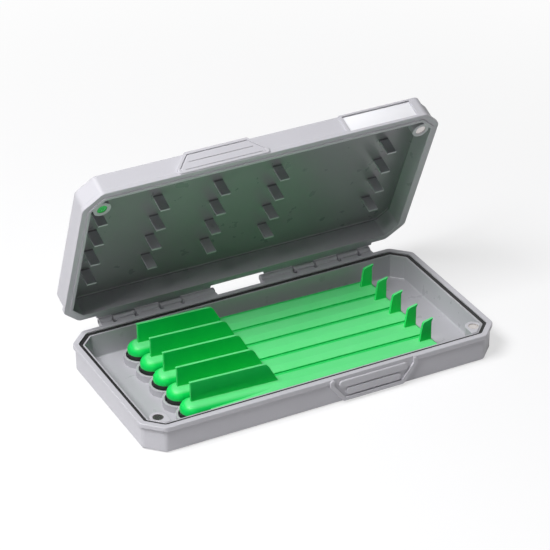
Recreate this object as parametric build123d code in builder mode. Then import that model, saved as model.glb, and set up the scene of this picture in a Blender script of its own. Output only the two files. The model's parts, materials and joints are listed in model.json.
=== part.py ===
# Fishing rig box: a flat case with a hinged lid that holds five lift-out rig sticks.
#
# The frame is in millimetres. The origin is the middle of the base's underside, X runs
# along the hinge, Y points to the hinge at the back and Z is up. The lid is modelled
# shut and then turned about its pins to the angle at which it stands open.

from build123d import *
import math
import os

os.makedirs("parts", exist_ok=True)


# Case
case_length = 220.0
case_width = 111.0
corner_cut = 10.6
corner_round = 4.5
base_height = 17.0
lid_height = 15.0
floor_thickness = 1.8
roof_thickness = 2.0
base_wall = 5.1
edge_round = 1.8
cavity_round = 0.8
cavity_draft = 4.0

# Rim band that stands proud of both walls
band_proud = 1.2
band_height = 3.0
band_round = 0.8
rim_edge_round = 0.4

# Seal groove in the base, and the tongue under the lid that presses the seal
rim_face = 3.2
groove_width = 2.2
groove_depth = 2.2
lip_drop = 0.9
rim_gap = 0.15
tongue_clearance = 0.25
seal_height = 1.6
seal_clearance = 0.1
seal_squeeze_gap = 0.15

# Disc magnets in the front corners
magnet_diameter = 6.0
magnet_thickness = 2.0
magnet_recess = 0.2
magnet_fit = 0.05
magnet_end_distance = 11.7
magnet_front_distance = 12.5
boss_wall = 1.75
boss_rise = 0.4
boss_gap = 0.3

# Hinges
hinge_setback = 5.0
hinge_drop = 0.5
hinge_shift = 1.0
hinge_start = 15.0
inner_knuckle = 21.3
lid_knuckle = 13.4
middle_knuckle = 15.4
outer_knuckle = 8.2
knuckle_gap = 0.3
barrel_radius = 2.3
barrel_clearance = 0.3
barrel_end_round = 0.6
pin_radius = 1.0
pin_fit = 0.05
pin_recess = 1.0
pin_anchor = 12.0
bracket_height = 8.0
bracket_root = 1.3
flange_inset = 2.4
flange_overrun = 1.2
flange_rise = 1.0
flange_height = 4.5
relief_width = 2.4
relief_start = 0.2
relief_reach = 3.3
relief_depth = 3.6
rest_opening = 67.0

# Grip pads on the two front walls
pad_offset = 26.7
pad_wide = 55.0
pad_narrow = 38.0
pad_shoulder = 4.2
pad_height = 15.2
pad_drop = 0.4
pad_root = 1.0
pad_proud = 0.8
pad_corner = 1.6
pad_edge_round = 0.4
pad_frame = 2.4
pad_top_frame = 1.2
pad_recess = 1.2
grip_bars = 2
grip_bar_width = 4.8
grip_bar_proud = 0.9
grip_bar_round = 0.7
lid_pad_height = 13.6
pad_groove_width = 0.8
pad_groove_depth = 0.5
pad_groove_inset = 1.8
fine_line_width = 0.4
fine_line_depth = 0.3
fine_line_depths = (1.8, 6.5)
fine_line_margin = 1.6

# Label on the lid's front wall
label_length = 42.6
label_height = 10.6
label_thickness = 0.3
label_margin = 0.2
label_centre_x = 72.8
label_centre_height = 7.2
label_frame_side = 2.0
label_frame_end = 7.0
label_frame_top = 1.5
label_frame_round = 0.35

# Row of sticks
stick_count = 5
stick_pitch = 17.0
stick_end_x = 78.2
nose_x = -73.6
rail_start_x = -66.0
rail_width = 16.0
rail_height = 10.0
rail_end_height = 8.2
rail_top_width = 7.4
rail_shoulder_drop = 1.7
rail_wall = 1.6
rail_edge_round = 0.5
rail_end_round = 3.0
rail_end_bulge = 0.4
nose_radius = 7.2
nose_height = 12.2
nose_underside = 6.5
nose_round = 4.8
hump_end_x = -20.4

# Divider flag and loop fin on each stick
flag_thickness = 1.4
flag_lead = 1.3
flag_left_height = 24.5
flag_right_height = 22.6
flag_shoulder_x = -28.5
flag_corner_round = 4.5
flag_lip_reach = 0.8
flag_lip_height = 1.2
flag_tip_round = 0.4
fin_thickness = 1.4
fin_left_x = 67.8
fin_shoulder_x = 70.2
fin_shoulder_height = 20.4
fin_shoulder_round = 2.2
fin_tip_x = 76.6
fin_tip_height = 21.8
fin_notch_height = 19.6
fin_foot_x = 75.6
blade_root = 2.6

# Round magnet under each nose, its pocket in the tray and the steel disc below it
nose_magnet_radius = 6.9
pocket_clearance = 0.9
pocket_wall = 1.4
pocket_height = 4.3
pocket_reach = 2.5
keeper_radius = 5.0
keeper_thickness = 0.8
keeper_fit = 0.05
bar_clearance = 0.3
bar_length = 3.0
bar_height = 4.0
bar_x = 58.0

# Ribs in the lid that reach down between the sticks
rib_length = 5.6
rib_thickness = 1.2
rib_tip_height = 2.0
rib_columns = (-94.6, -57.4, -20.4, 16.4, 84.9)

# Derived places
front_y = -case_width / 2
rear_y = case_width / 2
front_wall_y = front_y + band_proud
rear_wall_y = rear_y - band_proud
parting_z = base_height
lid_rim_z = parting_z + rim_gap
lid_top_z = parting_z + lid_height
ceiling_z = lid_top_z - roof_thickness
floor_z = floor_thickness
hinge_y = rear_y + hinge_setback
hinge_z = parting_z - hinge_drop
groove_inset = rim_face + groove_width
cavity_inset = band_proud + base_wall
lip_z = parting_z - lip_drop
groove_floor_z = parting_z - groove_depth
tongue_outer = rim_face + tongue_clearance
tongue_inner = rim_face + groove_width - tongue_clearance
tongue_tip_z = groove_floor_z + seal_height + seal_squeeze_gap
magnet_x = case_length / 2 - magnet_end_distance
magnet_y = front_y + magnet_front_distance
seat_radius = magnet_diameter / 2 + magnet_fit
seat_depth = magnet_thickness + magnet_recess
boss_radius = magnet_diameter / 2 + boss_wall
lid_boss_radius = boss_radius + boss_gap
boss_top_z = lip_z + boss_rise
lid_boss_z = boss_top_z + boss_gap
magnet_places = [(-magnet_x, magnet_y), (magnet_x, magnet_y)]
pocket_radius = nose_radius + pocket_clearance
stick_places = [stick_pitch * ((stick_count - 1) / 2 - row) for row in range(stick_count)]
rib_rows = [(behind + ahead) / 2 for behind, ahead in zip(stick_places, stick_places[1:])]
hinge_axis = Axis((0, hinge_y, hinge_z), (1, 0, 0))


def case_outline(inset, rounding):
    """The case's eight-sided plan, set in evenly from the rim's outer edge."""
    leg = corner_cut - inset * (2 - math.sqrt(2))
    with BuildSketch() as outline:
        Rectangle(case_length - 2 * inset, case_width - 2 * inset)
        chamfer(outline.vertices(), leg)
        fillet(outline.vertices(), rounding)
    return outline.sketch


rim_outline = case_outline(0, corner_round)
wall_outline = case_outline(band_proud, corner_round - band_proud / 2)
groove_outer = case_outline(rim_face, corner_round - rim_face / 2)
groove_inner = case_outline(groove_inset, corner_round - groove_inset / 2)
base_cavity = case_outline(cavity_inset, corner_round - cavity_inset / 2)
tongue_outline = case_outline(tongue_outer, corner_round - tongue_outer / 2)
lid_cavity = case_outline(tongue_inner, corner_round - tongue_inner / 2)
seal_outer = case_outline(rim_face + seal_clearance, corner_round - rim_face / 2)
seal_inner = case_outline(groove_inset - seal_clearance, corner_round - groove_inset / 2)


def pad_half_width(height, depth, inset):
    """Half the width of a grip pad, set in evenly, at a depth from its wide edge."""
    slope = (pad_wide - pad_narrow) / 2 / (height - pad_shoulder)
    sloping = pad_wide / 2 - slope * (depth - pad_shoulder) - inset * math.sqrt(1 + slope**2)
    return min(pad_wide / 2 - inset, sloping)


def pad_outline(height, inset, top_inset, rounding):
    """A grip pad's outline: wide along the rim at y = 0 and narrow at y = -height."""
    slope = (pad_wide - pad_narrow) / 2 / (height - pad_shoulder)
    near = pad_wide / 2 - inset
    bend = pad_shoulder - inset * (math.sqrt(1 + slope**2) - 1) / slope
    far = pad_half_width(height, height - inset, inset)
    with BuildSketch() as outline:
        with BuildLine():
            Polyline(
                (-near, -top_inset),
                (near, -top_inset),
                (near, -bend),
                (far, inset - height),
                (-far, inset - height),
                (-near, -bend),
                close=True,
            )
        make_face()
        if rounding > 0:
            fillet(outline.vertices(), rounding)
    return outline.sketch


def knuckle_spans():
    """Start and end of each knuckle from the middle of the case outwards, base and lid in turn."""
    lengths = [inner_knuckle, lid_knuckle, middle_knuckle, lid_knuckle, outer_knuckle]
    found = []
    start = hinge_start
    for length in lengths:
        found.append((start, start + length))
        start += length + knuckle_gap
    return found


def along_hinge(start, end, radius, end_round=0.0):
    """A round bar on the hinge axis from one x to another."""
    with BuildPart() as bar:
        with BuildSketch(Plane.YZ.offset(start)):
            with Locations((hinge_y, hinge_z)):
                Circle(radius)
        extrude(amount=end - start)
        if end_round > 0:
            fillet(bar.edges().filter_by(GeomType.CIRCLE), end_round)
    return bar.part


def both_sides(pairs):
    """The spans of the right hinge followed by the left one's, both moved along the rim."""
    mirrored = [(-end, -start) for start, end in pairs]
    return [(start + hinge_shift, end + hinge_shift) for start, end in pairs + mirrored]


spans = knuckle_spans()
base_spans = both_sides(spans[0::2])
lid_spans = both_sides(spans[1::2])
hinge_end = spans[-1][1]
hinge_spans = both_sides([(hinge_start, hinge_end)])
flange_spans = both_sides([(hinge_start + flange_inset, hinge_end + flange_overrun)])
bore_start = spans[0][1] - pin_anchor
bore_spans = both_sides([(bore_start, hinge_end)])
pin_spans = both_sides([(bore_start, hinge_end - pin_recess)])

base_barrels = [along_hinge(start, end, barrel_radius, barrel_end_round) for start, end in base_spans]
lid_barrels = [along_hinge(start, end, barrel_radius, barrel_end_round) for start, end in lid_spans]
troughs = [
    along_hinge(start - knuckle_gap, end + knuckle_gap, barrel_radius + barrel_clearance)
    for start, end in lid_spans
]
bores = [along_hinge(start, end, pin_radius + pin_fit) for start, end in bore_spans]

# The pads' planes lie on the front walls, with y pointing away from the pad's narrow edge
base_pad_plane = Plane(
    origin=(pad_offset, front_wall_y, parting_z - pad_drop), x_dir=(1, 0, 0), z_dir=(0, -1, 0)
)
lid_pad_plane = Plane(
    origin=(-pad_offset, front_wall_y, lid_rim_z + pad_drop), x_dir=(-1, 0, 0), z_dir=(0, -1, 0)
)
pad_depth = band_proud + pad_proud
recess_height = pad_height - pad_top_frame - pad_frame
grip_bar_gap = (recess_height - grip_bars * grip_bar_width) / (grip_bars + 1)


# Base: tray, seal groove, nose pockets, magnet bosses, grip pad and hinge brackets
with BuildPart() as base_shell:
    with BuildSketch():
        add(wall_outline)
    extrude(amount=base_height)
    fillet(base_shell.edges().group_by(Axis.Z)[0], edge_round)

    # Rim band
    with BuildSketch(Plane.XY.offset(parting_z - band_height)):
        add(rim_outline)
    extrude(amount=band_height)
    band_step = base_shell.faces().filter_by(Axis.Z).group_by(Axis.Z)[1][0]
    fillet(band_step.outer_wire().edges(), band_round)
    fillet(base_shell.faces().sort_by(Axis.Z)[-1].edges(), rim_edge_round)

    # Tray with drafted walls, and the lip inside the seal groove
    with BuildSketch(Plane.XY.offset(parting_z)):
        add(base_cavity)
    extrude(amount=floor_z - parting_z, taper=cavity_draft, mode=Mode.SUBTRACT)
    fillet(base_shell.faces().filter_by(Axis.Z).group_by(Axis.Z)[1].edges(), cavity_round)
    with BuildSketch(Plane.XY.offset(lip_z)):
        add(groove_outer)
    extrude(amount=base_height, mode=Mode.SUBTRACT)

    # Magnet bosses, joined to the corners, and their seats
    with BuildSketch(Plane.XY.offset(floor_z)):
        with Locations(*magnet_places):
            Circle(boss_radius)
        for (centre_x, centre_y), outwards in zip(magnet_places, (Align.MAX, Align.MIN)):
            inner_x = centre_x - math.copysign(boss_radius, centre_x)
            with Locations((inner_x, centre_y)):
                Rectangle(
                    magnet_end_distance + boss_radius, magnet_front_distance, align=(outwards, Align.MAX)
                )
        add(base_cavity, mode=Mode.INTERSECT)
    extrude(amount=boss_top_z - floor_z)
    with BuildSketch(Plane.XY.offset(boss_top_z)):
        with Locations(*magnet_places):
            Circle(seat_radius)
    extrude(amount=-seat_depth, mode=Mode.SUBTRACT)

    # Seal groove
    with BuildSketch(Plane.XY.offset(groove_floor_z)):
        add(groove_outer)
        add(groove_inner, mode=Mode.SUBTRACT)
    extrude(amount=base_height, mode=Mode.SUBTRACT)

    # Scalloped wall round the noses, open towards the rails
    with BuildSketch(Plane.XY.offset(floor_z)):
        with Locations(*[(nose_x, place) for place in stick_places]):
            Circle(pocket_radius + pocket_wall)
        with Locations(*[(nose_x, place) for place in stick_places]):
            Circle(pocket_radius, mode=Mode.SUBTRACT)
        with Locations((nose_x + pocket_reach, 0)):
            Rectangle(case_length, case_width, align=(Align.MIN, Align.CENTER), mode=Mode.SUBTRACT)
    extrude(amount=pocket_height)

    # Locating bars that stand inside the hollow rails
    with BuildSketch(Plane.XY.offset(floor_z)):
        with Locations(*[(bar_x, place) for place in stick_places]):
            Rectangle(bar_length, rail_width - 2 * rail_wall - 2 * bar_clearance)
    extrude(amount=bar_height)

    # Recesses for the steel discs
    with BuildSketch(Plane.XY.offset(floor_z)):
        with Locations(*[(nose_x, place) for place in stick_places]):
            Circle(keeper_radius + keeper_fit)
    extrude(amount=-keeper_thickness, mode=Mode.SUBTRACT)

    # Grip pad with its recess and bars
    with BuildSketch(base_pad_plane.offset(-pad_root)):
        add(pad_outline(pad_height, 0, 0, pad_corner))
    extrude(amount=pad_root + pad_depth)
    fillet(base_shell.faces().sort_by(Axis.Y)[0].edges(), pad_edge_round)
    with BuildSketch(base_pad_plane.offset(pad_depth)):
        add(pad_outline(pad_height, pad_frame, -pad_drop - pad_root, 0))
    extrude(amount=-pad_recess, mode=Mode.SUBTRACT)
    with BuildSketch(base_pad_plane.offset(pad_depth - pad_recess)):
        for bar in range(grip_bars):
            near_side = pad_top_frame + grip_bar_gap + bar * (grip_bar_width + grip_bar_gap)
            depth = near_side + grip_bar_width / 2
            half = pad_half_width(pad_height, near_side + grip_bar_width, pad_frame + grip_bar_gap)
            with Locations((0, -depth)):
                SlotOverall(2 * half, grip_bar_width)
    extrude(amount=grip_bar_proud)
    bar_faces = base_shell.faces().filter_by(Axis.Y).group_by(Axis.Y)[1]
    fillet(bar_faces.edges(), grip_bar_round)

    # Hinge brackets with troughs for the lid's knuckles and relief pockets at their ends
    for start, end in hinge_spans:
        with BuildSketch(Plane.YZ.offset(start)):
            with BuildLine():
                Polyline(
                    (rear_wall_y - bracket_root, parting_z),
                    (hinge_y, parting_z),
                    (hinge_y, hinge_z - barrel_radius),
                    (rear_wall_y, hinge_z - bracket_height),
                    (rear_wall_y - bracket_root, hinge_z - bracket_height),
                    close=True,
                )
            make_face()
        extrude(amount=end - start)
    for trough in troughs:
        add(trough, mode=Mode.SUBTRACT)
    for barrel in base_barrels:
        add(barrel)
    with BuildSketch(Plane.XY.offset(parting_z - relief_depth)):
        with Locations(*[(end, rear_y + relief_start) for span in lid_spans for end in span]):
            Rectangle(relief_width, relief_reach, align=(Align.CENTER, Align.MIN))
    extrude(amount=relief_depth + barrel_radius, mode=Mode.SUBTRACT)
    for bore in bores:
        add(bore, mode=Mode.SUBTRACT)


# Lid, modelled shut: shell, tongue, ribs, magnet bosses, grip pad, label frame and hinge arms
with BuildPart() as lid_shell:
    with BuildSketch(Plane.XY.offset(lid_rim_z)):
        add(wall_outline)
    extrude(amount=lid_top_z - lid_rim_z)
    fillet(lid_shell.edges().group_by(Axis.Z)[-1], edge_round)

    # Rim band
    with BuildSketch(Plane.XY.offset(lid_rim_z)):
        add(rim_outline)
    extrude(amount=band_height)
    band_step = lid_shell.faces().filter_by(Axis.Z).group_by(Axis.Z)[1][0]
    fillet(band_step.outer_wire().edges(), band_round)
    fillet(lid_shell.faces().sort_by(Axis.Z)[0].edges(), rim_edge_round)

    # Tongue and the hollow inside it
    with BuildSketch(Plane.XY.offset(tongue_tip_z)):
        add(tongue_outline)
    extrude(amount=lid_rim_z - tongue_tip_z)
    with BuildSketch(Plane.XY.offset(tongue_tip_z)):
        add(lid_cavity)
    extrude(amount=ceiling_z - tongue_tip_z, mode=Mode.SUBTRACT)
    fillet(lid_shell.faces().filter_by(Axis.Z).group_by(Axis.Z)[-2].edges(), cavity_round)

    # Label frame at the band's level, with a window down to the wall
    label_z = lid_rim_z + label_centre_height
    frame_start_x = label_centre_x - label_length / 2 - label_frame_side
    frame_end_x = label_centre_x + label_length / 2 + label_frame_end
    frame_top_z = label_z + label_height / 2 + label_frame_top
    with BuildSketch(Plane.XY.offset(lid_rim_z + band_height / 2)):
        add(rim_outline)
        with Locations((frame_start_x, front_y)):
            Rectangle(
                frame_end_x - frame_start_x,
                2 * band_proud,
                align=(Align.MIN, Align.MIN),
                mode=Mode.INTERSECT,
            )
    extrude(amount=frame_top_z - lid_rim_z - band_height / 2)
    frame_top = lid_shell.faces().filter_by(Axis.Z).filter_by_position(
        Axis.Z, frame_top_z - label_frame_round, frame_top_z + label_frame_round
    )
    fillet(frame_top.edges().group_by(Axis.Y)[0], label_frame_round)
    with BuildSketch(Plane(origin=(label_centre_x, front_y, label_z), x_dir=(1, 0, 0), z_dir=(0, -1, 0))):
        Rectangle(label_length + 2 * label_margin, label_height + 2 * label_margin)
    extrude(amount=-band_proud, mode=Mode.SUBTRACT)

    # Ribs that reach down between the sticks
    with BuildSketch(Plane.XY.offset(parting_z + rib_tip_height)):
        with Locations(*[(column, row) for column in rib_columns for row in rib_rows]):
            Rectangle(rib_length, rib_thickness)
    extrude(amount=ceiling_z - parting_z - rib_tip_height + roof_thickness / 2)

    # Magnet bosses and their seats
    with BuildSketch(Plane.XY.offset(lid_boss_z)):
        with Locations(*magnet_places):
            Circle(lid_boss_radius)
    extrude(amount=ceiling_z - lid_boss_z + roof_thickness / 2)
    with BuildSketch(Plane.XY.offset(lid_boss_z)):
        with Locations(*magnet_places):
            Circle(seat_radius)
    extrude(amount=seat_depth, mode=Mode.SUBTRACT)

    # Grip pad with a groove along three sides and two fine lines
    with BuildSketch(lid_pad_plane.offset(-pad_root)):
        add(pad_outline(lid_pad_height, 0, 0, pad_corner))
    extrude(amount=pad_root + pad_depth)
    fillet(lid_shell.faces().sort_by(Axis.Y)[0].edges(), pad_edge_round)
    groove_far = pad_groove_inset + pad_groove_width
    with BuildSketch(lid_pad_plane.offset(pad_depth)):
        add(pad_outline(lid_pad_height, pad_groove_inset, pad_top_frame, 0))
        add(pad_outline(lid_pad_height, groove_far, pad_top_frame, 0), mode=Mode.SUBTRACT)
    extrude(amount=-pad_groove_depth, mode=Mode.SUBTRACT)
    with BuildSketch(lid_pad_plane.offset(pad_depth)):
        for depth in fine_line_depths:
            half = pad_half_width(lid_pad_height, depth, groove_far + fine_line_margin)
            with Locations((0, -depth)):
                Rectangle(2 * half, fine_line_width)
    extrude(amount=-fine_line_depth, mode=Mode.SUBTRACT)

    # Hinge flange, with arms out to the lid's knuckles and a clear edge by the base's
    clear_y = hinge_y - barrel_radius - barrel_clearance
    for reach_y, reach_spans in ((clear_y, flange_spans), (hinge_y, lid_spans)):
        for start, end in reach_spans:
            with BuildSketch(Plane.YZ.offset(start)):
                with BuildLine():
                    Polyline(
                        (rear_wall_y - bracket_root, hinge_z + flange_rise),
                        (reach_y, hinge_z + flange_rise),
                        (reach_y, hinge_z + barrel_radius),
                        (rear_wall_y, hinge_z + flange_height),
                        (rear_wall_y - bracket_root, hinge_z + flange_height),
                        close=True,
                    )
                make_face()
            extrude(amount=end - start)
    for barrel in lid_barrels:
        add(barrel)
    for bore in bores:
        add(bore, mode=Mode.SUBTRACT)


# Rubber seal that lies in the base's groove
with BuildPart() as lid_seal:
    with BuildSketch(Plane.XY.offset(groove_floor_z)):
        add(seal_outer)
        add(seal_inner, mode=Mode.SUBTRACT)
    extrude(amount=seal_height)


# Blank label, stuck to the lid's front wall inside its frame
with BuildPart() as label_plate:
    with BuildSketch(
        Plane(origin=(label_centre_x, front_wall_y, label_z), x_dir=(1, 0, 0), z_dir=(0, -1, 0))
    ):
        Rectangle(label_length, label_height)
    extrude(amount=label_thickness)


# Steel discs let into the floor below the noses
with BuildPart() as keeper_discs:
    with BuildSketch(Plane.XY.offset(floor_z)):
        with Locations(*[(nose_x, place) for place in stick_places]):
            Circle(keeper_radius)
    extrude(amount=-keeper_thickness)


# Nose of a stick: a rounded block that slopes down to the rail's top
with BuildPart() as stick_nose:
    with BuildSketch(Plane.XZ):
        slope = (nose_height - rail_height) / (hump_end_x - nose_x)
        with BuildLine():
            Polyline(
                (nose_x - nose_radius, floor_z),
                (nose_x - nose_radius, floor_z + nose_height + slope * nose_radius),
                (hump_end_x, floor_z + rail_height),
                (hump_end_x, floor_z),
                close=True,
            )
        make_face()
    extrude(amount=nose_radius, both=True)
    with BuildSketch(Plane.XY):
        with Locations((nose_x, 0)):
            Circle(nose_radius)
            Rectangle(hump_end_x - nose_x, 2 * nose_radius, align=(Align.MIN, Align.CENTER))
    extrude(amount=lid_top_z, mode=Mode.INTERSECT)
    fillet(stick_nose.faces().sort_by(Axis.Z)[-1].edges().sort_by(Axis.X)[:-1], nose_round)
    with BuildSketch(Plane.XY.offset(floor_z)):
        Rectangle(case_length, case_width)
    extrude(amount=nose_underside, mode=Mode.SUBTRACT)


# Thin flag that keeps neighbouring rigs apart
with BuildPart() as stick_flag:
    with BuildSketch(Plane.XZ) as flag_side:
        with BuildLine():
            Polyline(
                (nose_x - flag_lead, floor_z + rail_height - blade_root),
                (nose_x - flag_lead, floor_z + flag_left_height - flag_lip_height),
                (nose_x - flag_lead - flag_lip_reach, floor_z + flag_left_height),
                (flag_shoulder_x, floor_z + flag_right_height),
                (hump_end_x, floor_z + rail_height - blade_root),
                close=True,
            )
        make_face()
        fillet(flag_side.vertices().group_by(Axis.Y)[-1], flag_tip_round)
        fillet(flag_side.vertices().group_by(Axis.Y)[1].sort_by(Axis.X)[-1:], flag_corner_round)
    extrude(amount=flag_thickness / 2, both=True)


# Fin that holds the end of the line
with BuildPart() as stick_fin:
    with BuildSketch(Plane.XZ) as fin_side:
        with BuildLine():
            Polyline(
                (fin_left_x, floor_z + rail_end_height - blade_root),
                (fin_shoulder_x, floor_z + fin_shoulder_height),
                (fin_tip_x, floor_z + fin_tip_height),
                (fin_foot_x, floor_z + fin_notch_height),
                (fin_foot_x, floor_z + rail_end_height - blade_root),
                close=True,
            )
        make_face()
        fillet(fin_side.vertices().sort_by(Axis.Y)[-2], fin_shoulder_round)
    extrude(amount=fin_thickness / 2, both=True)


def rail_section(inset, rounding):
    """The rail's section, set in evenly from its outside."""
    half = rail_width / 2 - inset
    crown_z = floor_z + rail_height - inset
    with BuildSketch() as section:
        with BuildLine():
            Polyline(
                (-half, floor_z),
                (-half, crown_z - rail_shoulder_drop),
                (-rail_top_width / 2, crown_z),
                (rail_top_width / 2, crown_z),
                (half, crown_z - rail_shoulder_drop),
                (half, floor_z),
                close=True,
            )
        make_face()
        if rounding > 0:
            fillet(section.vertices().sort_by(Axis.Y)[2:], rounding)
    return section.sketch


def rail_run(inset, rounding):
    """The rail, level under the nose's hump, then falling evenly to its end."""
    start_x = rail_start_x + inset
    end_x = stick_end_x - inset
    fall = (rail_height - rail_end_height) * (end_x - hump_end_x) / (stick_end_x - hump_end_x)
    with BuildPart() as run:
        with BuildSketch(Plane.YZ.offset(start_x)):
            add(rail_section(inset, rounding))
        extrude(amount=hump_end_x - start_x)
        with BuildSketch(Plane.YZ.offset(hump_end_x)):
            add(rail_section(inset, rounding))
        extrude(amount=math.hypot(end_x - hump_end_x, fall), dir=(end_x - hump_end_x, 0, -fall))
    return run.part


# Rig stick: a hollow rail, open below, with the nose, the flag and the fin moulded on
with BuildPart() as rig_stick:
    add(rail_run(0, rail_edge_round))
    with BuildSketch(Plane.XY.offset(floor_z)):
        Rectangle(case_length, case_width)
    extrude(amount=-rail_height, mode=Mode.SUBTRACT)
    with BuildSketch(Plane.XZ):
        end_top_z = floor_z + rail_end_height
        rise = rail_end_round * (rail_height - rail_end_height) / (stick_end_x - hump_end_x)
        arc_start = (stick_end_x - rail_end_round, end_top_z + rise)
        arc_end = (stick_end_x, end_top_z - rail_end_round)
        arc_share = rail_end_round / 2 - rail_end_bulge
        with BuildLine():
            Polyline(arc_start, (stick_end_x, end_top_z + rise), arc_end)
            ThreePointArc(arc_end, (stick_end_x - arc_share, end_top_z - arc_share), arc_start)
        make_face()
    extrude(amount=rail_width / 2, both=True, mode=Mode.SUBTRACT)
    fillet(rig_stick.faces().sort_by(Axis.X)[-1].edges().filter_by(Axis.Z), rail_edge_round)
    add(stick_nose.part)
    add(stick_flag.part)
    add(stick_fin.part)
    add(rail_run(rail_wall, 0), mode=Mode.SUBTRACT)


# Round magnet that holds the hooks below a nose
with BuildPart() as nose_magnet:
    with BuildSketch(Plane.XY.offset(floor_z)):
        with Locations((nose_x, 0)):
            Circle(nose_magnet_radius)
    extrude(amount=nose_underside)


def disc_magnet(place, bottom):
    """A corner magnet that stands on a height at a place in plan."""
    with BuildPart() as magnet:
        with BuildSketch(Plane.XY.offset(bottom)):
            with Locations(place):
                Circle(magnet_diameter / 2)
        extrude(amount=magnet_thickness)
    return magnet.part


def opened(piece):
    """A lid piece turned from the shut lid to the angle at which the lid stands open."""
    return piece.rotate(hinge_axis, -rest_opening)


def save(piece, name):
    """Label a finished piece and write it to its own file."""
    piece.label = name
    export_step(piece, f"parts/{name}.step")


save(base_shell.part, "base_shell")
save(lid_seal.part, "lid_seal")
save(keeper_discs.part, "keeper_discs")
save(opened(lid_shell.part), "lid_shell")
save(opened(label_plate.part), "label_plate")

for side, place in zip(("left", "right"), magnet_places):
    save(disc_magnet(place, boss_top_z - seat_depth), f"base_magnet_{side}")
    save(opened(disc_magnet(place, lid_boss_z + magnet_recess)), f"lid_magnet_{side}")

for side, (start, end) in zip(("right", "left"), pin_spans):
    save(along_hinge(start, end, pin_radius), f"hinge_pin_{side}")

for row, place in enumerate(stick_places, start=1):
    save(rig_stick.part.moved(Location((0, place, 0))), f"rig_stick_{row}")
    save(nose_magnet.part.moved(Location((0, place, 0))), f"nose_magnet_{row}")
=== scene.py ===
import json
import math

import bmesh
import bpy
from mathutils import Matrix, Vector


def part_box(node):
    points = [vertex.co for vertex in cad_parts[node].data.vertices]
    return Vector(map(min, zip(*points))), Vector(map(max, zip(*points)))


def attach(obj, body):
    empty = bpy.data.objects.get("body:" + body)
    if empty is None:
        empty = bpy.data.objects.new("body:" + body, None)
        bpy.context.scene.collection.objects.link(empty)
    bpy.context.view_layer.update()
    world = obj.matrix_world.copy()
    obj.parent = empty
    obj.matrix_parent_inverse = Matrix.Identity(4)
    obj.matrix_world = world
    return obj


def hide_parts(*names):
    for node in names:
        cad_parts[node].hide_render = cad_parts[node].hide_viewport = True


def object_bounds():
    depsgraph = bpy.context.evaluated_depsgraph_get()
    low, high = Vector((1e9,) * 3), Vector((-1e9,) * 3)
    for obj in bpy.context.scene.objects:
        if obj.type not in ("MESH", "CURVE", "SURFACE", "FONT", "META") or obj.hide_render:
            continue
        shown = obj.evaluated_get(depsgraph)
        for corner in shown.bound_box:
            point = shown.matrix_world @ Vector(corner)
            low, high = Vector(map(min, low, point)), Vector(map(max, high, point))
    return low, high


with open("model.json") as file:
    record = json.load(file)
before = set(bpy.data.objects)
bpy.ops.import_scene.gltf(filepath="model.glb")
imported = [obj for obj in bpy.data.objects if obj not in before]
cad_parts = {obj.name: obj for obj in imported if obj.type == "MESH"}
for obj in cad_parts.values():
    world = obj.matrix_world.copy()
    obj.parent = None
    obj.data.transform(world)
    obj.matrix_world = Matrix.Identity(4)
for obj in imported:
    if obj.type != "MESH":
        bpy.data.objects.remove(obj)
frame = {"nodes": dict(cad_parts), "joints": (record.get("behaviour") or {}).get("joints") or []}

bl_info = {
    "name": "Fishing rig box",
    "version": (1, 0, 0),
    "blender": (4, 5, 0),
    "location": "View3D > Sidebar > Rig box",
    "description": "Dresses the fishing rig box with its plastics, magnets, seal and label",
    "category": "Object",
}

CAD_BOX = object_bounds()
STICKS = range(1, 6)
SIDES = ("left", "right")
LID_HINGE = next(joint for joint in frame["joints"] if joint["name"] == "lid_hinge")
HINGE_POINT = Vector(LID_HINGE["pos_m"])
SHUT_TURN = -math.radians(LID_HINGE["range_deg"][0])
# Depth over the case's rim, and the leg of the cut at each of its corners, in metres
RIM_DEPTH = 0.111
CORNER_CUT = 0.0106
# The side of the sticks painted paler, as the sheen and light that their upper, front-facing faces
# catch
PAINTED_SHEEN_SIDE = Vector((0.0, -0.25, 0.97))
# Refraction of moulded plastic
PLASTIC_IOR = 1.49
# How strongly a softened edge shows lighter: as wear on the case, and as a painted highlight along
# the thin sticks' edges
CASE_EDGE_GAIN = 2.2
STICK_EDGE_HIGHLIGHT_GAIN = 22.0
# The angles above which an edge is bevelled, and shaded as sharp
BEVEL_ANGLE = math.radians(40)
SMOOTH_ANGLE = math.radians(35)
# What both lamps point at
LAMP_AIM = (0.0, 0.0, 0.03)


def srgb(red, green, blue):
    """A colour given as 0 to 255 display values, as the linear values that shaders use."""
    shares = [level / 255 for level in (red, green, blue)]
    return tuple(s / 12.92 if s <= 0.04045 else ((s + 0.055) / 1.055) ** 2.4 for s in shares)


def paint(title, use, default):
    """A colour that the user can change."""
    return bpy.props.FloatVectorProperty(
        name=title, description=use, subtype="COLOR", size=3, min=0.0, max=1.0, default=default
    )


def length(title, use, default):
    """A size in metres that the user can change."""
    return bpy.props.FloatProperty(
        name=title, description=use, unit="LENGTH", precision=5, min=0.0, default=default
    )


def share(title, use, default):
    """A share from none to all that the user can change."""
    return bpy.props.FloatProperty(name=title, description=use, min=0.0, max=1.0, default=default)


def power(title, use, default):
    """A lamp's power in watts that the user can change."""
    return bpy.props.FloatProperty(name=title, description=use, unit="POWER", default=default)


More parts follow.
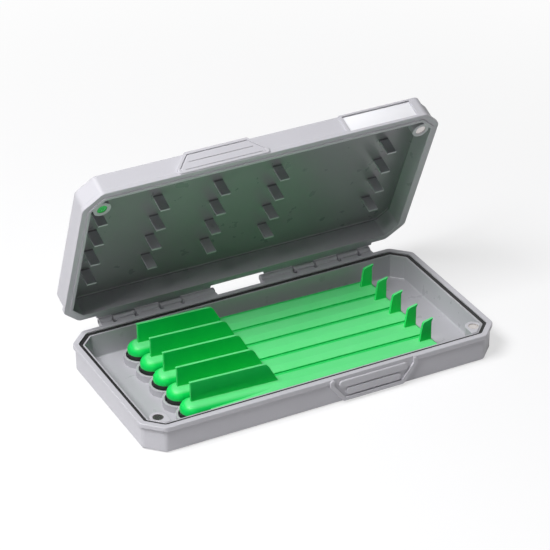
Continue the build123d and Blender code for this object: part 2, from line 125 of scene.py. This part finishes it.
class CaseFinish(bpy.types.PropertyGroup):
    """Colours and surface of the two moulded shells."""

    colour: paint("Shell", "Grey of the moulded case", srgb(181, 180, 186))
    edge_wear_and_highlight: paint("Edges", "Lighter grey where the edges are rubbed", srgb(206, 205, 209))
    outer_roughness: share("Outer roughness", "Spark-eroded outside", 0.46)
    inner_roughness: share("Inner roughness", "Smoother inside", 0.30)
    # Painted shade in the tray's and the lid's hollows
    tray_shade: share("Tray shade", "How much darker the tray's inside is", 0.14)
    lid_shade: share("Lid shade", "How much darker the lid's ribbed inside is", 0.5)
    rib_reach: length("Rib reach", "How far down the lid's floor and rib roots reach", 0.0032)
    hollow_inset: length("Hollow inset", "How far the hollows lie inside the rim", 0.0049)
    skin: length("Skin", "Depth below which a shell's face belongs to its outside", 0.001)
    edge_softness: length("Edge softness", "Radius that the mould leaves on sharp edges", 0.0003)
    grain_depth: length("Grain depth", "Depth of the outside's fine grain", 0.000012)


class StickFinish(bpy.types.PropertyGroup):
    """Colour and surface of the green sticks."""

    colour: paint("Stick", "Green of the moulded sticks", srgb(3, 205, 88))
    # Painted sheen: the paler green that the lit upper faces show
    sheen_and_haze: paint("Haze", "Paler green of the rubbed upper faces", srgb(112, 214, 142))
    # Painted highlight: the paler green along the sticks' thin edges
    edge_wear_and_highlight: paint("Edges", "Paler green on thin edges", srgb(124, 234, 160))
    roughness: share("Roughness", "Satin surface", 0.42)
    gloss: share("Gloss", "Strength of the reflections", 0.35)
    edge_softness: length("Edge softness", "Radius that the mould leaves on sharp edges", 0.00045)
    glow: share("Glow", "How far light spreads in the thin walls", 0.06)


class FittingSizes(bpy.types.PropertyGroup):
    """Fine sizes and colours of the seal, magnets, pins and label."""

    nickel: paint("Nickel", "Plating of the corner magnets", srgb(205, 200, 198))
    ferrite: paint("Ferrite", "Dark ceramic of the nose magnets", srgb(38, 42, 40))
    rubber: paint("Rubber", "Black of the seal", srgb(14, 14, 15))
    steel: paint("Steel", "Hinge pins and keeper discs", srgb(176, 178, 182))
    paper: paint("Label", "White of the blank label", srgb(224, 224, 228))
    magnet_chamfer: length("Magnet edge", "Rounding of the corner magnets' edge", 0.00025)
    magnet_dish: length("Magnet dish", "Depth of the corner magnets' ground face", 0.00006)
    nose_magnet_round: length("Nose magnet edge", "Rounding of the nose magnets' edges", 0.0004)
    seal_round: length("Seal crown", "Rounding along the top of the seal", 0.00025)
    seal_corner_cut: length("Seal corner", "Length that the seal's corners are cut by", 0.00867)
    seal_corner_round: length("Seal bend", "Length of the bend at each seal corner", 0.0012)
    seal_width: length("Seal width", "Width of the seal's ring", 0.0020)
    label_corner: length("Label corner", "Rounding of the label's corners", 0.0006)
    label_edge: length("Label edge", "Rounding of the label's thin edge", 0.00008)
    pin_crown: length("Pin crown", "Rounding of the hinge pins' ends", 0.0004)


class StudioSettings(bpy.types.PropertyGroup):
    """Camera, lamps and floor."""

    camera_place: bpy.props.FloatVectorProperty(
        name="Camera place",
        description="Where the camera stands",
        subtype="TRANSLATION",
        unit="LENGTH",
        size=3,
        default=(-0.54408, -1.0434, 0.74728),
    )
    azimuth: bpy.props.FloatProperty(
        name="Azimuth",
        description="Camera's turn round the object",
        subtype="ANGLE",
        default=math.radians(-27.305),
    )
    elevation: bpy.props.FloatProperty(
        name="Elevation",
        description="Camera's height above the horizon",
        subtype="ANGLE",
        default=math.radians(30.474),
    )
    roll: bpy.props.FloatProperty(
        name="Roll",
        description="Camera's turn about its own axis",
        subtype="ANGLE",
        default=math.radians(-0.372),
    )
    lens: bpy.props.FloatProperty(
        name="Lens", description="Focal length in millimetres", min=10.0, default=161.2
    )
    key_power: power("Key", "Power of the large softbox at the upper left", 24.5)
    back_power: power("Back", "Power of the softbox above the hinge", 1.0)
    surround: share("Surround", "Level of the room's own light", 0.06)
    floor_colour: paint("Floor", "Pale floor", srgb(236, 236, 238))
    floor_bounce: share("Floor bounce", "How much light the floor throws back at the object", 0.75)
    floor_white: share("Floor white", "Plain white mixed into the floor's shadow", 0.65)


GROUPS = {
    "rigbox_case": CaseFinish,
    "rigbox_sticks": StickFinish,
    "rigbox_fittings": FittingSizes,
    "rigbox_studio": StudioSettings,
}


class Value:
    """The output of a shader node, so that shader maths reads as Python maths."""

    def __init__(self, finish, socket):
        self.finish = finish
        self.socket = socket

    def maths(self, operation, first, second):
        return self.finish.node("ShaderNodeMath", {"operation": operation}, (first, second))

    def __add__(self, other):
        return self.maths("ADD", self, other)

    def __radd__(self, other):
        return self.maths("ADD", other, self)

    def __sub__(self, other):
        return self.maths("SUBTRACT", self, other)

    def __rsub__(self, other):
        return self.maths("SUBTRACT", other, self)

    def __mul__(self, other):
        return self.maths("MULTIPLY", self, other)

    def __rmul__(self, other):
        return self.maths("MULTIPLY", other, self)

    def __truediv__(self, other):
        return self.maths("DIVIDE", self, other)

    def above(self, level):
        return self.maths("GREATER_THAN", self, level)

    def below(self, level):
        return self.maths("LESS_THAN", self, level)

    def size(self):
        return self.maths("ABSOLUTE", self, 0.0)

    def at_most(self, level):
        return self.maths("MINIMUM", self, level)

    def at_least(self, level):
        return self.maths("MAXIMUM", self, level)


class Tree:
    """A node tree that is filled by calls on values."""

    def __init__(self, tree):
        self.tree = tree
        self.tree.nodes.clear()

    def node(self, kind, settings=None, inputs=(), output=0):
        """Adds a node with its settings and inputs, and returns one of its outputs."""
        made = self.tree.nodes.new(kind)
        for name, setting in (settings or {}).items():
            if name == "stops":
                self.set_stops(made.color_ramp, setting)
            else:
                setattr(made, name, setting)
        pairs = inputs.items() if isinstance(inputs, dict) else enumerate(inputs)
        for key, given in pairs:
            self.feed(made.inputs[key], given)
        return Value(self, made.outputs[output]) if made.outputs else None

    def set_stops(self, ramp, stops):
        while len(ramp.elements) < len(stops):
            ramp.elements.new(0.5)
        for element, (position, level) in zip(ramp.elements, stops):
            element.position = position
            element.color = (level, level, level, 1.0)

    def feed(self, socket, given):
        """Links a value to a socket, or sets a constant on it."""
        if isinstance(given, Value):
            self.tree.links.new(given.socket, socket)
        elif socket.type == "RGBA":
            socket.default_value = (*given, 1.0)
        else:
            socket.default_value = given

    def mix(self, factor, low, high):
        """A colour between two colours."""
        made = self.tree.nodes.new("ShaderNodeMix")
        made.data_type = "RGBA"
        colours = [socket for socket in made.inputs if socket.type == "RGBA"]
        self.feed(made.inputs["Factor"], factor)
        self.feed(colours[0], low)
        self.feed(colours[1], high)
        result = next(socket for socket in made.outputs if socket.type == "RGBA")
        return Value(self, result)

    def ramp(self, value, *stops):
        """A smooth step between grey levels."""
        return self.node("ShaderNodeValToRGB", {"stops": stops}, (value,))


class Finish(Tree):
    """A procedural material."""

    def __init__(self, name):
        self.material = bpy.data.materials.new(name)
        self.material.use_nodes = True
        super().__init__(self.material.node_tree)

    def place(self, turn=0.0):
        """Object coordinates, turned about the hinge where the piece belongs to the opened lid."""
        place = self.node("ShaderNodeTexCoord", output="Object")
        moved = HINGE_POINT - Matrix.Rotation(turn, 3, "X") @ HINGE_POINT
        inputs = {"Vector": place, "Location": moved, "Rotation": (turn, 0.0, 0.0)}
        return self.node("ShaderNodeMapping", {}, inputs)

    def noise(self, place, scale, detail=2.0, roughness=0.5):
        inputs = {"Vector": place, "Scale": scale, "Detail": detail, "Roughness": roughness}
        return self.node("ShaderNodeTexNoise", {}, inputs)

    def soft_normal(self, radius):
        """The surface's normal with its sharp edges rounded."""
        return self.node("ShaderNodeBevel", {"samples": 6}, {"Radius": radius})

    def edge_mask(self, soft):
        """How far the rounded normal leaves the true one: none on flats, more along edges."""
        true_normal = self.node("ShaderNodeNewGeometry", output="Normal")
        return (1.0 - self.along(soft, true_normal)).at_least(0.0)

    def along(self, first, second):
        """How far two directions agree."""
        settings = {"operation": "DOT_PRODUCT"}
        return self.node("ShaderNodeVectorMath", settings, (first, second), "Value")

    def axis(self, place, letter):
        """One coordinate of a place."""
        return self.node("ShaderNodeSeparateXYZ", {}, (place,), letter)

    def tinted(self, factor, colour, low, high):
        """A colour that drifts between two strengths of itself."""
        weak = [min(c * low, 1.0) for c in colour]
        strong = [min(c * high, 1.0) for c in colour]
        return self.mix(factor, weak, strong)

    def bump(self, height, depth, normal=None):
        inputs = {"Height": height, "Distance": depth, "Strength": 1.0}
        if normal:
            inputs["Normal"] = normal
        return self.node("ShaderNodeBump", {}, inputs)

    def surface(self, **inputs):
        """Ends the material in one shader, its inputs named as the shader names them."""
        named = {name.replace("_", " "): given for name, given in inputs.items()}
        shader = self.node("ShaderNodeBsdfPrincipled", {}, named)
        self.node("ShaderNodeOutputMaterial", {}, (shader,))
        return self.material


def hollow_mask(finish, place, settings, low, high):
    """One inside a shell's hollow, between two heights of the shut case, and none outside it."""
    inset = settings.hollow_inset
    end, side = CAD_BOX[1].x - inset, RIM_DEPTH / 2 - inset
    corner = end + side - CORNER_CUT + inset * (2 - math.sqrt(2))
    along, across, height = (finish.axis(place, letter) for letter in "XYZ")
    within = along.size().below(end) * across.size().below(side)
    within = within * (along.size() + across.size()).below(corner)
    return within * height.above(low) * height.below(high)


def shell_plastic(name, settings, turn, low, high, shade_from, shade_depth):
    """Grey moulded plastic: fine spark-eroded grain, faint flow clouds, rubbed edges and painted
    shade in the hollows.
    """
    finish = Finish(name)
    place = finish.place(turn)
    hollow = hollow_mask(finish, place, settings, low, high)
    clouds = finish.noise(place, 28.0, 3.0)
    speckle = finish.noise(place, 900.0, 2.0)
    grain = finish.noise(place, 2400.0, 3.0, 0.6)
    soft = finish.soft_normal(settings.edge_softness)
    edge = (finish.edge_mask(soft) * CASE_EDGE_GAIN).at_most(0.55)
    shade = finish.ramp(clouds * 0.7 + speckle * 0.3, (0.25, 0.0), (0.75, 1.0))
    base = finish.tinted(shade, settings.colour, 0.965, 1.03)
    # Painted shade: the tray's inside, and the lid's inside above its rib roots, darkened towards
    # black
    painted_shade = hollow * finish.axis(place, "Z").above(shade_from) * shade_depth
    shaded = finish.mix(painted_shade, base, (0.0, 0.0, 0.0))
    colour = finish.mix(edge, shaded, settings.edge_wear_and_highlight)
    rubbed = finish.noise(place, 120.0, 4.0)
    smoother = settings.outer_roughness - settings.inner_roughness
    roughness = settings.outer_roughness - 0.08 + rubbed * 0.16 - hollow * smoother
    normal = finish.bump(grain * (1.0 - hollow * 0.7), settings.grain_depth, soft)
    return finish.surface(Base_Color=colour, Roughness=roughness, Normal=normal, IOR=PLASTIC_IOR)


def stick_plastic(name, settings):
    """Glossy green moulded plastic, with a painted highlight along its thin edges and painted
    sheen on its upper faces.
    """
    finish = Finish(name)
    place = finish.place()
    clouds = finish.noise(place, 45.0, 2.0)
    ripple = finish.noise(place, 260.0, 2.0)
    soft = finish.soft_normal(settings.edge_softness)
    # Painted highlight along the thin edges and the rails' top edges
    edge = (finish.edge_mask(soft) * STICK_EDGE_HIGHLIGHT_GAIN).at_most(0.45)
    facing = finish.node("ShaderNodeTexCoord", output="Normal")
    # Painted sheen and light: upper, front-facing faces paler, rear-facing shoulders left darker
    upward = finish.ramp(finish.along(facing, PAINTED_SHEEN_SIDE), (0.8, 0.0), (0.96, 1.0))
    base = finish.tinted(clouds, settings.colour, 0.95, 1.05)
    sheen_painted = finish.mix(upward * (0.55 + clouds * 0.25), base, settings.sheen_and_haze)
    colour = finish.mix(edge, sheen_painted, settings.edge_wear_and_highlight)
    roughness = settings.roughness - 0.05 + ripple * 0.1
    normal = finish.bump(ripple, 0.000012, soft)
    return finish.surface(
        Base_Color=colour,
        Roughness=roughness,
        Normal=normal,
        IOR=PLASTIC_IOR,
        Specular_IOR_Level=settings.gloss,
        Subsurface_Weight=settings.glow,
        Subsurface_Radius=(0.3, 1.0, 0.4),
        Subsurface_Scale=0.0012,
    )


def seal_rubber(name, colour):
    """Matt black rubber with a little dust on its crown."""
    finish = Finish(name)
    place = finish.place()
    dust = finish.ramp(finish.noise(place, 1100.0, 3.0, 0.65), (0.55, 0.0), (0.75, 1.0))
    clouds = finish.noise(place, 90.0, 2.0)
    tone = finish.mix(dust * 0.12, colour, srgb(96, 96, 94))
    normal = finish.bump(finish.noise(place, 1800.0, 2.0), 0.00001)
    return finish.surface(Base_Color=tone, Roughness=0.55 + clouds * 0.2, Normal=normal)


def bright_nickel(name, colour, turn=0.0):
    """Nickel plating with a faint ground texture and a few small stains."""
    finish = Finish(name)
    place = finish.place(turn)
    scratches = finish.noise(place, 1400.0, 4.0, 0.7)
    stains = finish.ramp(finish.noise(place, 420.0, 2.0), (0.52, 0.0), (0.72, 1.0))
    tone = finish.mix(stains * 0.25, colour, srgb(150, 142, 136))
    roughness = 0.14 + scratches * 0.12 + stains * 0.1
    normal = finish.bump(scratches, 0.000003)
    return finish.surface(Base_Color=tone, Metallic=1.0, Roughness=roughness, Normal=normal)


def dark_ferrite(name, colour):
    """Sintered black ceramic: dull, mottled and slightly pitted."""
    finish = Finish(name)
    place = finish.place()
    mottle = finish.noise(place, 380.0, 4.0, 0.6)
    pits = finish.ramp(finish.noise(place, 1500.0, 2.0), (0.3, 0.0), (0.45, 1.0))
    tone = finish.tinted(mottle, colour, 0.7, 1.5)
    normal = finish.bump(pits, 0.00003)
    return finish.surface(Base_Color=tone, Roughness=0.42 + mottle * 0.2, Normal=normal)


def turned_steel(name, colour):
    """Bright steel with fine lines from its drawing or turning."""
    finish = Finish(name)
    place = finish.place()
    inputs = {"W": finish.axis(place, "X"), "Scale": 5200.0}
    lines = finish.node("ShaderNodeTexNoise", {"noise_dimensions": "1D"}, inputs)
    sheen_and_haze = finish.noise(place, 300.0, 3.0)
    tone = finish.tinted(sheen_and_haze, colour, 0.85, 1.0)
    normal = finish.bump(lines, 0.000004)
    roughness = 0.22 + sheen_and_haze * 0.16
    return finish.surface(Base_Color=tone, Metallic=1.0, Roughness=roughness, Normal=normal)


def label_paper(name, colour, turn):
    """Smooth white label film over paper fibres."""
    finish = Finish(name)
    place = finish.place(turn)
    fibres = finish.noise(place, 1300.0, 4.0, 0.7)
    clouds = finish.noise(place, 60.0, 2.0)
    tone = finish.tinted(fibres * 0.5 + clouds * 0.5, colour, 0.97, 1.0)
    normal = finish.bump(fibres, 0.000006)
    roughness = 0.38 + clouds * 0.1
    return finish.surface(Base_Color=tone, Roughness=roughness, Coat_Weight=0.25, Normal=normal)


def dress(obj, material):
    """Gives a whole piece one material."""
    obj.data.materials.clear()
    obj.data.materials.append(material)


def start(add, **settings):
    """Adds a primitive with nothing else selected."""
    bpy.ops.object.select_all(action="DESELECT")
    add(**settings)
    return bpy.context.object


def edit(obj):
    """Enters edit mode on one object."""
    bpy.context.view_layer.objects.active = obj
    bpy.ops.object.mode_set(mode="EDIT")


def pick(obj, kind, chosen):
    """Selects the faces or edges for which the test holds."""
    bpy.ops.mesh.select_all(action="DESELECT")
    bpy.ops.mesh.select_mode(type=kind)
    shape = bmesh.from_edit_mesh(obj.data)
    parts = {"FACE": shape.faces, "EDGE": shape.edges}[kind]
    for part in parts:
        part.select_set(chosen(part))
    shape.select_flush_mode()
    bmesh.update_edit_mesh(obj.data)


def sharp(edge):
    """Whether two faces meet at the edge at a clear angle."""
    return len(edge.link_faces) == 2 and edge.calc_face_angle() > BEVEL_ANGLE


def sharp_and_high(edge):
    """Whether an edge is sharp and lies above the level that the shape was drawn on."""
    return sharp(edge) and all(corner.co.z > 0 for corner in edge.verts)


def facing_up(face):
    return face.normal.z > 0.9


def raise_by(depth):
    """Raises the selected ring or plate into a solid with its faces outwards."""
    bpy.ops.mesh.select_all(action="SELECT")
    bpy.ops.mesh.extrude_region_move(TRANSFORM_OT_translate={"value": (0.0, 0.0, depth)})
    bpy.ops.mesh.select_all(action="SELECT")
    bpy.ops.mesh.normals_make_consistent(inside=False)


def settle(obj, name):
    """Ends a piece: out of edit mode, smooth, with its place in its mesh and its name."""
    bpy.ops.object.mode_set(mode="OBJECT")
    bpy.ops.object.transform_apply(location=True, rotation=True, scale=True)
    bpy.ops.object.shade_smooth_by_angle(angle=SMOOTH_ANGLE)
    obj.name = name
    obj.data.name = name
    return obj


def middle(node):
    low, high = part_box(node)
    return (low + high) / 2


def size(node):
    low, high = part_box(node)
    return high - low


def shut_place(point):
    """Where a point of the opened lid lies once the lid is shut."""
    return Matrix.Rotation(SHUT_TURN, 3, "X") @ (point - HINGE_POINT) + HINGE_POINT


def model_disc(name, centre, radius, thickness, rounding, dish, tilt=0.0):
    """A disc with rounded edges and a slightly dished face."""
    disc = start(
        bpy.ops.mesh.primitive_cylinder_add,
        vertices=72,
        radius=radius,
        depth=thickness,
        location=centre,
        rotation=(tilt, 0.0, 0.0),
    )
    edit(disc)
    pick(disc, "EDGE", sharp_rim)
    bpy.ops.mesh.bevel(offset=rounding, segments=4, affect="EDGES")
    pick(disc, "FACE", facing_up)
    bpy.ops.mesh.inset(thickness=radius * 0.12, depth=0.0)
    bpy.ops.mesh.inset(thickness=radius * 0.06, depth=-dish)
    return settle(disc, name)


def sharp_rim(edge):
    """The circles at a cylinder's two ends."""
    return sharp(edge) and any(len(face.verts) > 4 for face in edge.link_faces)


class RIGBOX_OT_shells(bpy.types.Operator):
    """Gives the moulded base and lid their grey plastic"""

    bl_idname = "rigbox.shells"
    bl_label = "Case shells"

    def execute(self, context):
        settings = context.scene.rigbox_case
        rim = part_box("lid_seal")[1].z
        low = settings.skin
        shade = settings.tray_shade
        base = shell_plastic("grey_base_plastic", settings, 0.0, low, rim, low, shade)
        top = max(shut_place(corner.co).z for corner in frame["nodes"]["lid_shell"].data.vertices)
        high = top - settings.skin
        ribs = top - settings.rib_reach
        shade = settings.lid_shade
        lid = shell_plastic("grey_lid_plastic", settings, SHUT_TURN, rim, high, ribs, shade)
        dress(frame["nodes"]["base_shell"], base)
        dress(frame["nodes"]["lid_shell"], lid)
        return {"FINISHED"}


class RIGBOX_OT_sticks(bpy.types.Operator):
    """Gives the five sticks their green plastic"""

    bl_idname = "rigbox.sticks"
    bl_label = "Rig sticks"

    def execute(self, context):
        green = stick_plastic("green_stick_plastic", context.scene.rigbox_sticks)
        for number in STICKS:
            dress(frame["nodes"][f"rig_stick_{number}"], green)
        return {"FINISHED"}


class RIGBOX_OT_seal(bpy.types.Operator):
    """Models the rubber seal as a crowned bead round the groove"""

    bl_idname = "rigbox.seal"
    bl_label = "Lid seal"

    def execute(self, context):
        sizes = context.scene.rigbox_fittings
        low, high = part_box("lid_seal")
        reach = (high - low) / 2
        seal = start(bpy.ops.mesh.primitive_plane_add, size=2.0, location=(0.0, 0.0, low.z))
        edit(seal)
        bpy.ops.transform.resize(value=(reach.x, reach.y, 1.0))
        for along in (1, -1):
            for across in (1, -1):
                bpy.ops.mesh.select_all(action="SELECT")
                bpy.ops.mesh.bisect(
                    plane_co=(along * (reach.x - sizes.seal_corner_cut), across * reach.y, low.z),
                    plane_no=(along, across, 0.0),
                    clear_outer=True,
                )
        bpy.ops.mesh.select_all(action="SELECT")
        bpy.ops.mesh.bevel(offset=sizes.seal_corner_round, segments=5, affect="VERTICES")
        bpy.ops.mesh.select_all(action="SELECT")
        bpy.ops.mesh.inset(thickness=sizes.seal_width, depth=0.0)
        bpy.ops.mesh.delete(type="FACE")
        raise_by(high.z - low.z)
        pick(seal, "EDGE", sharp_and_high)
        bpy.ops.mesh.bevel(offset=sizes.seal_round, segments=4, affect="EDGES")
        settle(seal, "seal_bead")
        dress(seal, seal_rubber("black_seal_rubber", sizes.rubber))
        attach(seal, "base")
        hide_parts("lid_seal")
        return {"FINISHED"}


class RIGBOX_OT_corner_magnets(bpy.types.Operator):
    """Models the four bright magnets in the front corners"""

    bl_idname = "rigbox.corner_magnets"
    bl_label = "Corner magnets"

    def execute(self, context):
        sizes = context.scene.rigbox_fittings
        nickel = bright_nickel("bright_nickel", sizes.nickel)
        for side in SIDES:
            thickness = size(f"base_magnet_{side}").z
            for body, tilt in (("base", 0.0), ("lid", math.pi - SHUT_TURN)):
                node = f"{body}_magnet_{side}"
                disc = model_disc(
                    f"{body}_{side}_disc",
                    middle(node),
                    size(node).x / 2,
                    thickness,
                    sizes.magnet_chamfer,
                    sizes.magnet_dish,
                    tilt,
                )
                dress(disc, nickel)
                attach(disc, body)
                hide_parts(node)
        return {"FINISHED"}


class RIGBOX_OT_nose_magnets(bpy.types.Operator):
    """Models the round magnet under each stick's nose"""

    bl_idname = "rigbox.nose_magnets"
    bl_label = "Nose magnets"

    def execute(self, context):
        sizes = context.scene.rigbox_fittings
        ferrite = dark_ferrite("dark_ferrite", sizes.ferrite)
        for number in STICKS:
            node = f"nose_magnet_{number}"
            disc = model_disc(
                f"nose_disc_{number}",
                middle(node),
                size(node).x / 2,
                size(node).z,
                sizes.nose_magnet_round,
                sizes.magnet_dish,
            )
            dress(disc, ferrite)
            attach(disc, f"stick_{number}")
            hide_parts(node)
        return {"FINISHED"}


class RIGBOX_OT_label(bpy.types.Operator):
    """Models the blank white label on the lid's front wall"""

    bl_idname = "rigbox.label"
    bl_label = "Blank label"

    def execute(self, context):
        sizes = context.scene.rigbox_fittings
        corners = [shut_place(corner.co) for corner in frame["nodes"]["label_plate"].data.vertices]
        low = Vector([min(corner[axis] for corner in corners) for axis in range(3)])
        high = Vector([max(corner[axis] for corner in corners) for axis in range(3)])
        label = start(bpy.ops.mesh.primitive_plane_add, size=1.0)
        edit(label)
        bpy.ops.transform.resize(value=(high.x - low.x, high.z - low.z, 1.0))
        bpy.ops.mesh.select_all(action="SELECT")
        bpy.ops.mesh.bevel(offset=sizes.label_corner, segments=5, affect="VERTICES")
        raise_by(high.y - low.y)
        pick(label, "EDGE", sharp_and_high)
        bpy.ops.mesh.bevel(offset=sizes.label_edge, segments=2, affect="EDGES")
        bpy.ops.object.mode_set(mode="OBJECT")
        centre = (low + high) / 2
        label.rotation_euler = (math.pi / 2 - SHUT_TURN, 0.0, 0.0)
        back = Vector((centre.x, high.y, centre.z))
        label.location = Matrix.Rotation(-SHUT_TURN, 3, "X") @ (back - HINGE_POINT) + HINGE_POINT
        settle(label, "blank_label")
        dress(label, label_paper("white_label", sizes.paper, SHUT_TURN))
        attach(label, "lid")
        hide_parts("label_plate")
        return {"FINISHED"}


class RIGBOX_OT_hinge_pins(bpy.types.Operator):
    """Models the two steel hinge pins with crowned ends"""

    bl_idname = "rigbox.hinge_pins"
    bl_label = "Hinge pins"

    def execute(self, context):
        sizes = context.scene.rigbox_fittings
        steel = turned_steel("drawn_steel", sizes.steel)
        for side in SIDES:
            node = f"hinge_pin_{side}"
            pin = start(
                bpy.ops.mesh.primitive_cylinder_add,
                vertices=40,
                radius=size(node).z / 2,
                depth=size(node).x,
                location=middle(node),
                rotation=(0.0, math.pi / 2, 0.0),
            )
            edit(pin)
            pick(pin, "EDGE", sharp_rim)
            bpy.ops.mesh.bevel(offset=sizes.pin_crown, segments=5, affect="EDGES")
            settle(pin, f"{side}_hinge_pin")
            dress(pin, steel)
            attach(pin, "base")
            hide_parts(node)
        dress(frame["nodes"]["keeper_discs"], turned_steel("disc_steel", sizes.steel))
        return {"FINISHED"}


class RIGBOX_OT_studio(bpy.types.Operator):
    """Sets the floor, the lamps, the white surround and the camera"""

    bl_idname = "rigbox.studio"
    bl_label = "Studio"

    def execute(self, context):
        settings = context.scene.rigbox_studio
        self.set_floor(settings)
        self.set_surround(context.scene, settings)
        self.set_lamps(settings)
        self.set_camera(context.scene, settings)
        context.scene.view_settings.view_transform = "Standard"
        return {"FINISHED"}

    def seen_directly(self, tree):
        """One for rays from the eye, off gloss or through glass, and none for other light."""
        kinds = ("Camera", "Glossy", "Transmission")
        seen = [tree.node("ShaderNodeLightPath", output=f"Is {kind} Ray") for kind in kinds]
        return (seen[0] + seen[1] + seen[2]).at_most(1.0)

    def set_floor(self, settings):
        floor = start(bpy.ops.mesh.primitive_plane_add, size=12.0, location=(0.0, 0.0, -0.0002))
        floor.name = "floor"
        finish = Finish("pale_floor")
        place = finish.node("ShaderNodeTexCoord", output="Object")
        far = finish.node("ShaderNodeVectorMath", {"operation": "LENGTH"}, (place,), "Value")
        fade = finish.ramp(far / 0.6, (0.3, 0.0), (1.0, 1.0))
        cloth = finish.noise(place, 60.0, 3.0)
        tone = finish.tinted(cloth, settings.floor_colour, 0.99, 1.0)
        seen = self.seen_directly(finish)
        white = finish.node("ShaderNodeEmission", {}, {"Color": (1.0, 1.0, 1.0), "Strength": 1.0})
        matt = finish.node("ShaderNodeBsdfDiffuse", {}, (tone,))
        plain = settings.floor_white
        shown = finish.node("ShaderNodeMixShader", {}, (plain + fade * (1.0 - plain), matt, white))
        dim = finish.node("ShaderNodeBsdfDiffuse", {}, ([settings.floor_bounce] * 3,))
        shader = finish.node("ShaderNodeMixShader", {}, (seen, dim, shown))
        finish.node("ShaderNodeOutputMaterial", {}, (shader,))
        dress(floor, finish.material)

    def set_surround(self, scene, settings):
        world = bpy.data.worlds.new("white_surround")
        world.use_nodes = True
        scene.world = world
        tree = Tree(world.node_tree)
        direction = tree.node("ShaderNodeTexCoord", output="Generated")
        left = tree.node("ShaderNodeSeparateXYZ", {}, (direction,), "X")
        rear = tree.node("ShaderNodeSeparateXYZ", {}, (direction,), "Y")
        level = settings.surround * (1.0 - left * 0.6 + rear * 0.5)
        seen = self.seen_directly(tree)
        room = tree.node("ShaderNodeBackground", {}, {"Color": (1.0, 1.0, 1.0), "Strength": level})
        white = tree.node("ShaderNodeBackground", {}, {"Color": (1.0, 1.0, 1.0), "Strength": 1.0})
        shader = tree.node("ShaderNodeMixShader", {}, (seen, room, white))
        tree.node("ShaderNodeOutputWorld", {}, (shader,))

    def add_lamp(self, name, place, width, height, watts):
        lamp = start(bpy.ops.object.light_add, type="AREA", location=place)
        lamp.name = name
        lamp.data.shape = "RECTANGLE"
        lamp.data.size = width
        lamp.data.size_y = height
        lamp.data.energy = watts
        aim = Vector(LAMP_AIM) - Vector(place)
        lamp.rotation_euler = aim.to_track_quat("-Z", "Y").to_euler()

    def set_lamps(self, settings):
        self.add_lamp("key_softbox", (-0.72, -0.17, 1.14), 0.7, 0.5, settings.key_power)
        self.add_lamp("back_softbox", (0.05, 0.3, 1.3), 0.9, 0.5, settings.back_power)

    def set_camera(self, scene, settings):
        camera = start(bpy.ops.object.camera_add, location=settings.camera_place)
        camera.name = "camera"
        turn = Matrix.Rotation(settings.azimuth, 3, "Z")
        tip = Matrix.Rotation(math.pi / 2 - settings.elevation, 3, "X")
        roll = Matrix.Rotation(settings.roll, 3, "Z")
        camera.rotation_euler = (turn @ tip @ roll).to_euler()
        camera.data.lens = settings.lens
        camera.data.sensor_width = 36.0
        camera.data.dof.use_dof = False
        scene.camera = camera


OPERATORS = (
    RIGBOX_OT_shells,
    RIGBOX_OT_sticks,
    RIGBOX_OT_seal,
    RIGBOX_OT_corner_magnets,
    RIGBOX_OT_nose_magnets,
    RIGBOX_OT_label,
    RIGBOX_OT_hinge_pins,
    RIGBOX_OT_studio,
)


class RIGBOX_PT_panel(bpy.types.Panel):
    """Lists the pieces of the rig box"""

    bl_idname = "RIGBOX_PT_panel"
    bl_label = "Rig box"
    bl_space_type = "VIEW_3D"
    bl_region_type = "UI"
    bl_category = "Rig box"

    def draw(self, context):
        for operator in OPERATORS:
            self.layout.operator(operator.bl_idname)
        for name, group in GROUPS.items():
            box = self.layout.box()
            box.label(text=group.__doc__)
            for key in group.__annotations__:
                box.prop(getattr(context.scene, name), key)


def register():
    for name, group in GROUPS.items():
        bpy.utils.register_class(group)
        setattr(bpy.types.Scene, name, bpy.props.PointerProperty(type=group))
    for operator in OPERATORS:
        bpy.utils.register_class(operator)
    bpy.utils.register_class(RIGBOX_PT_panel)


def unregister():
    bpy.utils.unregister_class(RIGBOX_PT_panel)
    for operator in reversed(OPERATORS):
        bpy.utils.unregister_class(operator)
    for name, group in GROUPS.items():
        delattr(bpy.types.Scene, name)
        bpy.utils.unregister_class(group)


def main():
    """Registers the add-on, and models and dresses every piece."""
    register()
    for operator in OPERATORS:
        family, verb = operator.bl_idname.split(".")
        getattr(getattr(bpy.ops, family), verb)()


if __name__ == "__main__":
    main()
